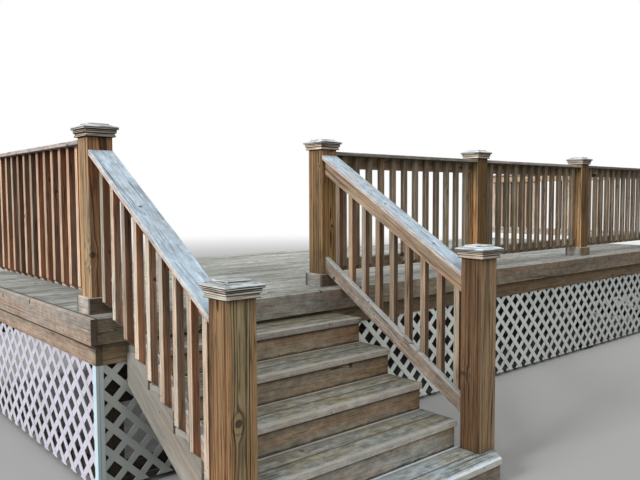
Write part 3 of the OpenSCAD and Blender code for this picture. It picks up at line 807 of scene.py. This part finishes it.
# Balusters, square sticks cut to a bevel at the foot and nailed to both rails, each sawn from a different
# board. Their colour differs from one row to the next, brown to red and grey.
stick_look = dict(top=(0.44, 0.41, 0.36, 1), figure=0.7, streaks=0.5, hairs=0.8, knots=0.25, ring=0.007)
for node, name, face, side, look in (
    ("stair_balusters_left", "baluster_wood", (0.26, 0.155, 0.10, 1), (0.53, 0.465, 0.40, 1),
     dict(warm=0.6, patches=0.6, uneven=0.3)),
    ("stair_balusters_right", "brown_baluster_wood", (0.22, 0.125, 0.078, 1), (0.36, 0.285, 0.22, 1),
     dict(warm=0.7, patches=0.6, uneven=0.25)),
    ("front_balusters", "grey_baluster_wood", (0.22, 0.17, 0.115, 1), (0.40, 0.34, 0.27, 1),
     dict(warm=0.45, patches=0.8, uneven=0.25)),
    ("side_balusters", "red_baluster_wood", (0.18, 0.095, 0.06, 1), (0.52, 0.40, 0.33, 1),
     dict(warm=0.8, patches=0.6, uneven=0.3)),
):
    stick_wood = wood(name, face, side=side, **stick_look, **look)
    timber(node, "baluster", stick_wood, pith=(0.04, 0.12, 0.06), along=Vector((0, 0, 1)), ease=0.002)

# Lattice skirt, two layers of white plastic strips welded where they cross, nailed to the rims and to
# boards near the ground, with a grooved plastic angle at each front corner. The real sheet is thinner than
# the solids', so each panel is pressed towards its outer face.
SKIRT_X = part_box("lattice_trim")[0][0]
THINNED = 0.55

# Places of the angle's grooves from its corner, painted dark as their shade, and the colour of dirt on the
# plastic
TRIM_GROOVES = (0.018, 0.046)
GREY_DIRT = (0.42, 0.43, 0.43, 1)


def plastic(name, front, side, lines=()):
    """White plastic, greyed by dirt in places: front is its colour painted for faces in shade, side a colour
    painted for those in the sun. It carries painted light just right of the flight and painted shade to the
    left of it and far to the right. lines are the places of grooves, painted dark as their shade, measured
    from the left corner."""
    f = Finish(name)
    x = f.split(f.place())[0]
    dirt = f.noise(f.stretch(f.place(), (4, 4, 4)), 4.0, 0.6)
    sideways = f.split(f.put("NewGeometry", {}).outputs["Normal"])[0]
    # Painted shade left of the flight and far to the right, painted light just right of it
    painted_light_and_dirt = f.times(f.ramp(x, STEP_LEFT, STEP_RIGHT, 0.66, 1.14),
                    f.ramp(x, STEP_RIGHT + 0.6, -CORNER_X, 1, 0.6))
    # Side painted as in sun on faces that look sideways, front painted as in shade
    painted_light_and_dirt = f.mix(f.ramp(f.size(sideways), 0.4, 0.8), f.shade(front, painted_light_and_dirt), side)
    painted_light_and_dirt = f.mix(f.ramp(dirt, 0.42, 0.8, 0, 0.5), painted_light_and_dirt, GREY_DIRT)
    # Each groove painted dark as its shade
    for line in lines:
        off = f.size(f.minus(f.minus(x, SKIRT_X), line))
        painted_light_and_dirt = f.mix(f.ramp(off, 0.001, 0.004, 0.6, 0), painted_light_and_dirt, (0.2, 0.25, 0.3, 1))
    f.feed(f.shader.inputs["Base Color"], painted_light_and_dirt)
    f.shader.inputs["Roughness"].default_value = 0.45
    return f.material


strip_plastic = plastic("strip_plastic", (0.79, 0.85, 0.79, 1), (0.72, 0.69, 0.81, 1))
trim_plastic = plastic("trim_plastic", (0.84, 0.99, 1.0, 1), (0.69, 0.91, 1.0, 1), lines=TRIM_GROOVES)
for node in ("lattice_front_1", "lattice_front_2", "lattice_front_3", "lattice_left", "lattice_right"):
    panel = from_node(node, 0.0)
    low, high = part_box(node)
    through = 1 if "front" in node else 0
    outer = high[0] if node == "lattice_right" else low[through]
    for vert in panel.verts:
        vert.co[through] = outer + (vert.co[through] - outer) * THINNED
    add_piece(panel, node + "_strips", [node], strip_plastic)
add_piece(from_node("lattice_trim", 0.0), "lattice_trim_strips", ["lattice_trim"], trim_plastic)
timber("skirt_rails", "framing", framing_wood)

# Nails and screws, rusted steel: two screws where a deck board or a tread crosses what carries it, two
# nails at the head and two at the foot of each baluster, and pairs of nails along the fascia boards. Only
# the heads show.

# Radius and thickness of the heads, and half the space between the two of a pair
SCREW_R, NAIL_R, HEAD_T = 0.004, 0.0032, 0.0014
PAIR, STICK_PAIR = 0.045, 0.009
# Place of the nails from the ends of a baluster, with one of each pair further in, and along the fascia
# boards
FROM_HEAD, FROM_FOOT, FURTHER_IN = 0.055, 0.065, 0.02
NAIL_PITCH, BOTH_ENDS = 0.406, 0.08
rust = Finish("rusted_steel")
pitted = rust.noise(rust.stretch(rust.place(), (420, 420, 420)), 2.0)
rust.feed(rust.shader.inputs["Base Color"],
          rust.mix(rust.ramp(pitted, 0.35, 0.65), (0.045, 0.04, 0.037, 1), (0.12, 0.06, 0.03, 1)))
rust.shader.inputs["Metallic"].default_value = 0.6
rust.shader.inputs["Roughness"].default_value = 0.6


def add_heads(name, places, radius):
    """Shallow eight-sided heads, each pushed on to a face along the way that face looks."""
    bm = bmesh.new()
    for place, way in places:
        turn = Vector(way).to_track_quat("Z", "Y").to_matrix().to_4x4()
        bmesh.ops.create_cone(bm, cap_ends=True, segments=8, radius1=radius, radius2=0.6 * radius,
                              depth=HEAD_T, matrix=Matrix.Translation(place) @ turn)
    add_piece(bm, name, [], rust.material)


def screwed(boards, carriers):
    """Two screws on top of each board wherever it crosses what carries it."""
    places = []
    for under in carriers:
        for board in boards:
            for side in (-1, 1):
                x = (under[0].x + under[1].x) / 2
                y = (board[0].y + board[1].y) / 2 + side * PAIR
                places.append((Vector((x, y, board[1].z)), (0, 0, 1)))
    return places


def facings(nodes):
    """The way each board of a node looks, the middle of its outer face, and its box."""
    for node, way in nodes:
        for low, high in boxes(node):
            look = Vector(way or (math.copysign(1, low.x), 0, 0))
            thick = min(high.x - low.x, high.y - low.y)
            yield look, (low + high) / 2 + look * thick / 2, low, high


add_heads("deck_screws", screwed(boxes("deck_boards"), boxes("joists")), SCREW_R)
tread_boards = [board for number in range(1, 6) for board in boxes(f"tread_{number}")]
planks = [plank for side in ("left", "middle", "right") for plank in boxes("stringer_" + side)]
add_heads("tread_screws", screwed(tread_boards, planks), SCREW_R)
stick_nails = []
stick_ways = (("stair_balusters_left", (-1, 0, 0)), ("stair_balusters_right", (1, 0, 0)),
              ("front_balusters", (0, -1, 0)), ("side_balusters", None))
for look, on_face, low, high in facings(stick_ways):
    for side in (-1, 1):
        spread = Vector((look.y, look.x, 0)) * side * STICK_PAIR
        stagger = FURTHER_IN * (side > 0)
        for height in (high.z - FROM_HEAD - stagger, low.z + FROM_FOOT + stagger):
            stick_nails.append((Vector((on_face.x, on_face.y, height)) + spread, look))
add_heads("baluster_nails", stick_nails, NAIL_R)
fascia_nails = []
for look, on_face, low, high in facings((("fascia_front", (0, -1, 0)), ("fascia_sides", None))):
    length = max(high.x - low.x, high.y - low.y)
    along = Vector((abs(look.y), abs(look.x), 0))
    pairs = round(length / NAIL_PITCH)
    for i in range(pairs + 1):
        at = (i / pairs - 0.5) * (length - BOTH_ENDS)
        for side in (-1, 1):
            fascia_nails.append((on_face + along * at + Vector((0, 0, side * PAIR)), look))
add_heads("fascia_nails", fascia_nails, SCREW_R)

# Floor, lights and camera: a plain pale floor that fades to white, a low key light on the left, soft light
# from above, and the camera where the picture was taken. Nothing of this belongs to the deck.

# Half the width of the floor, and how far off it begins and ends to fade
FLOOR_HALF = 90
FADE_FROM, FADE_TO = 9, 24
stage = Finish("pale_floor")
seen_by_camera = stage.put("LightPath", {}).outputs["Is Camera Ray"]
stage.feed(stage.shader.inputs["Base Color"],
           stage.mix(seen_by_camera, (0.30, 0.30, 0.30, 1), (0.43, 0.43, 0.425, 1)))
stage.shader.inputs["Roughness"].default_value = 0.95
stage.shader.inputs["Specular IOR Level"].default_value = 0.1
away = stage.put("VectorMath", {0: stage.place()}, operation="LENGTH").outputs["Value"]
white = stage.put("Emission", {"Color": (1, 1, 1, 1), "Strength": 1.0}).outputs[0]
fade = stage.times(stage.ramp(away, FADE_FROM, FADE_TO), seen_by_camera)
faded = stage.put("MixShader", {0: fade, 1: stage.shader.outputs[0], 2: white})
stage.tree.links.new(faded.outputs[0], stage.tree.nodes["Material Output"].inputs["Surface"])
floor_mesh = bmesh.new()
bmesh.ops.create_grid(floor_mesh, x_segments=1, y_segments=1, size=FLOOR_HALF)
floor = add_object(floor_mesh, "floor", stage.material)

world = bpy.data.worlds.new("studio")
bpy.context.scene.world = world
world.use_nodes = True
tree = world.node_tree
path = tree.nodes.new("ShaderNodeLightPath")
seen = path.outputs["Is Camera Ray"]
for ray in ("Is Glossy Ray", "Is Transmission Ray"):
    either = tree.nodes.new("ShaderNodeMath")
    either.operation = "MAXIMUM"
    tree.links.new(seen, either.inputs[0])
    tree.links.new(path.outputs[ray], either.inputs[1])
    seen = either.outputs[0]
level = tree.nodes.new("ShaderNodeMapRange")
tree.links.new(seen, level.inputs[0])
level.inputs["To Min"].default_value = 0.20
level.inputs["To Max"].default_value = 1.0
tree.links.new(level.outputs[0], tree.nodes["Background"].inputs["Strength"])
tree.nodes["Background"].inputs["Color"].default_value = (1, 1, 1, 1)

for name, energy, spread, way in (
    ("key", 2.3, 16, (0.88, 0.03, -0.42)),
    ("top", 1.5, 75, (0.15, 0.45, -0.9)),
):
    sun = bpy.data.lights.new(name, "SUN")
    sun.energy = energy
    sun.angle = math.radians(spread)
    light = bpy.data.objects.new(name, sun)
    bpy.context.scene.collection.objects.link(light)
    light.rotation_mode = "QUATERNION"
    light.rotation_quaternion = Vector(way).to_track_quat("-Z", "Y")

EYE = Vector((-4.988, -4.128, 1.598))
YAW, PITCH, ROLL = math.radians(40.76), math.radians(3.65), math.radians(0.26)
camera_data = bpy.data.cameras.new("camera")
camera_data.sensor_width = 36
camera_data.lens = 37.76
camera = bpy.data.objects.new("camera", camera_data)
bpy.context.scene.collection.objects.link(camera)
camera.matrix_world = (
    Matrix.Translation(EYE) @ Matrix.Rotation(-YAW, 4, "Z")
    @ Matrix.Rotation(math.pi / 2 - PITCH, 4, "X") @ Matrix.Rotation(-ROLL, 4, "Z")
)
bpy.context.scene.camera = camera
bpy.context.scene.view_settings.view_transform = "Standard"
